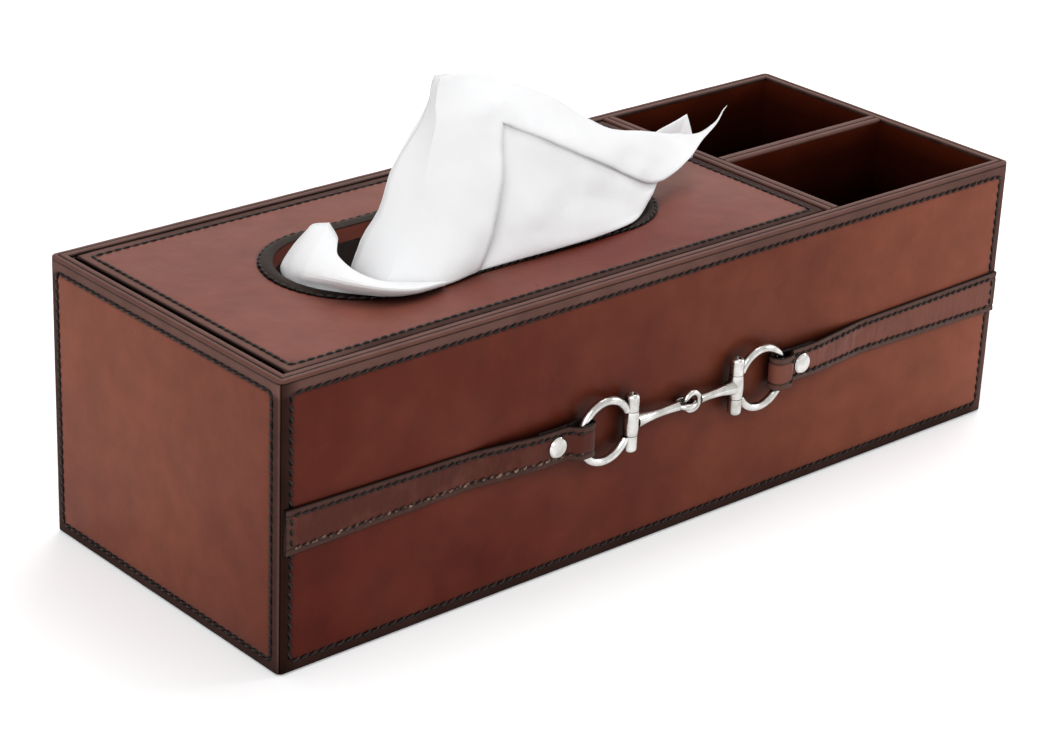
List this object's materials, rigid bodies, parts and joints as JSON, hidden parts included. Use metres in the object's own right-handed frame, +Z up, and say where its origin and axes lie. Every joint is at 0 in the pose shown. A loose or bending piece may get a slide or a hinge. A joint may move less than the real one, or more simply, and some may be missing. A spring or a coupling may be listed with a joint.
{
  "type": "tissue box with pen wells",
  "caption": "Stitched leather tissue box with a lift-off slotted lid, open wells at one end and a jointed snaffle bit strapped across its front.",
  "frame": {"origin": "middle of the flat underside, on the table", "axes": "+X along the box towards the wells, -Y out of the decorated front, +Z up"},
  "size_m": [0.33, 0.1327, 0.16],
  "materials": {
    "board": "matt grey-brown bookbinder board, hidden by the leather",
    "panel_leather": "glazed antiqued saddle leather, red-brown, darker towards its stitched margins",
    "lid_leather": "glazed antiqued saddle leather, red-brown",
    "rim_leather": "dark brown binding leather with a soft polish",
    "slot_binding_leather": "rolled near-black binding leather",
    "lining_leather": "smooth glossy red-brown lining leather",
    "suede": "dark brown suede cloth",
    "felt": "dark brown felt",
    "strap_leather": "dark red-brown bridle leather, creased",
    "rivet_metal": "polished nickel",
    "bit_metal": "polished nickel, worn soft at the joints",
    "tissue_paper": "soft white tissue"
  },
  "bodies": {
    "case": {"back_board": "board", "back_leather": "panel_leather", "base_board": "board", "base_felt": "felt", "bay_floor": "suede", "bay_lining_back": "suede", "bay_lining_front": "suede", "bay_lining_left": "suede", "bay_lining_right": "suede", "divider_binding": "rim_leather", "divider_board": "board", "front_board": "board", "front_leather": "panel_leather", "front_well_floor": "lining_leather", "front_well_lining_back": "lining_leather", "front_well_lining_front": "lining_leather", "front_well_lining_left": "lining_leather", "front_well_lining_right": "lining_leather", "left_end_board": "board", "left_end_leather": "panel_leather", "lid_ledge_back": "board", "lid_ledge_front": "board", "lid_ledge_left": "board", "lid_ledge_right": "board", "partition_binding": "rim_leather", "partition_board": "board", "rear_well_floor": "lining_leather", "rear_well_lining_back": "lining_leather", "rear_well_lining_front": "lining_leather", "rear_well_lining_left": "lining_leather", "rear_well_lining_right": "lining_leather", "right_end_board": "board", "right_end_leather": "panel_leather", "rim_binding_back": "rim_leather", "rim_binding_front": "rim_leather", "rim_binding_left": "rim_leather", "rim_binding_right": "rim_leather", "strap_left": "strap_leather", "strap_right": "strap_leather", "strap_rivet_left": "rivet_metal", "strap_rivet_right": "rivet_metal", "tissue_stack": "tissue_paper"},
    "lid": {"lid_board": "board", "lid_edge_band": "lid_leather", "lid_leather": "lid_leather", "lid_lining": "suede", "slot_binding": "slot_binding_leather", "slot_wall_lining": "lining_leather"},
    "tissue": {"pulled_tissue": "tissue_paper"},
    "left_ring": {"bit_ring_left": "bit_metal", "hinge_pin_left": "bit_metal"},
    "left_arm": {"bit_arm_left": "bit_metal"},
    "right_ring": {"bit_ring_right": "bit_metal", "hinge_pin_right": "bit_metal"},
    "right_arm": {"bit_arm_right": "bit_metal"}
  },
  "joints": [
    {"name": "lid_lift", "type": "slide", "parent": "case", "child": "lid", "axis": [0, 0, 1], "range_m": [0, 0.12]},
    {"name": "tissue_pull", "type": "slide", "parent": "lid", "child": "tissue", "axis": [0, 0, 1], "range_m": [0, 0.1]},
    {"name": "left_ring_swing", "type": "hinge", "parent": "case", "child": "left_ring", "pos_m": [-0.0455, -0.0666, 0.0496], "axis": [0, 0, -1], "range_deg": [0, 8]},
    {"name": "left_arm_fold", "type": "hinge", "parent": "left_ring", "child": "left_arm", "pos_m": [-0.0244, -0.0666, 0.0496], "axis": [0, 0, -1], "range_deg": [-8, 0]},
    {"name": "right_ring_swing", "type": "hinge", "parent": "case", "child": "right_ring", "pos_m": [0.0455, -0.0666, 0.0496], "axis": [0, 0, 1], "range_deg": [0, 8]},
    {"name": "right_arm_fold", "type": "hinge", "parent": "right_ring", "child": "right_arm", "pos_m": [0.0244, -0.0666, 0.0496], "axis": [0, 0, 1], "range_deg": [-8, 0]}
  ],
  "couplings": [
    {"joint": "left_arm_fold", "follows": "left_ring_swing", "ratio": -1},
    {"joint": "right_ring_swing", "follows": "left_ring_swing", "ratio": 1},
    {"joint": "right_arm_fold", "follows": "left_ring_swing", "ratio": -1}
  ]
}
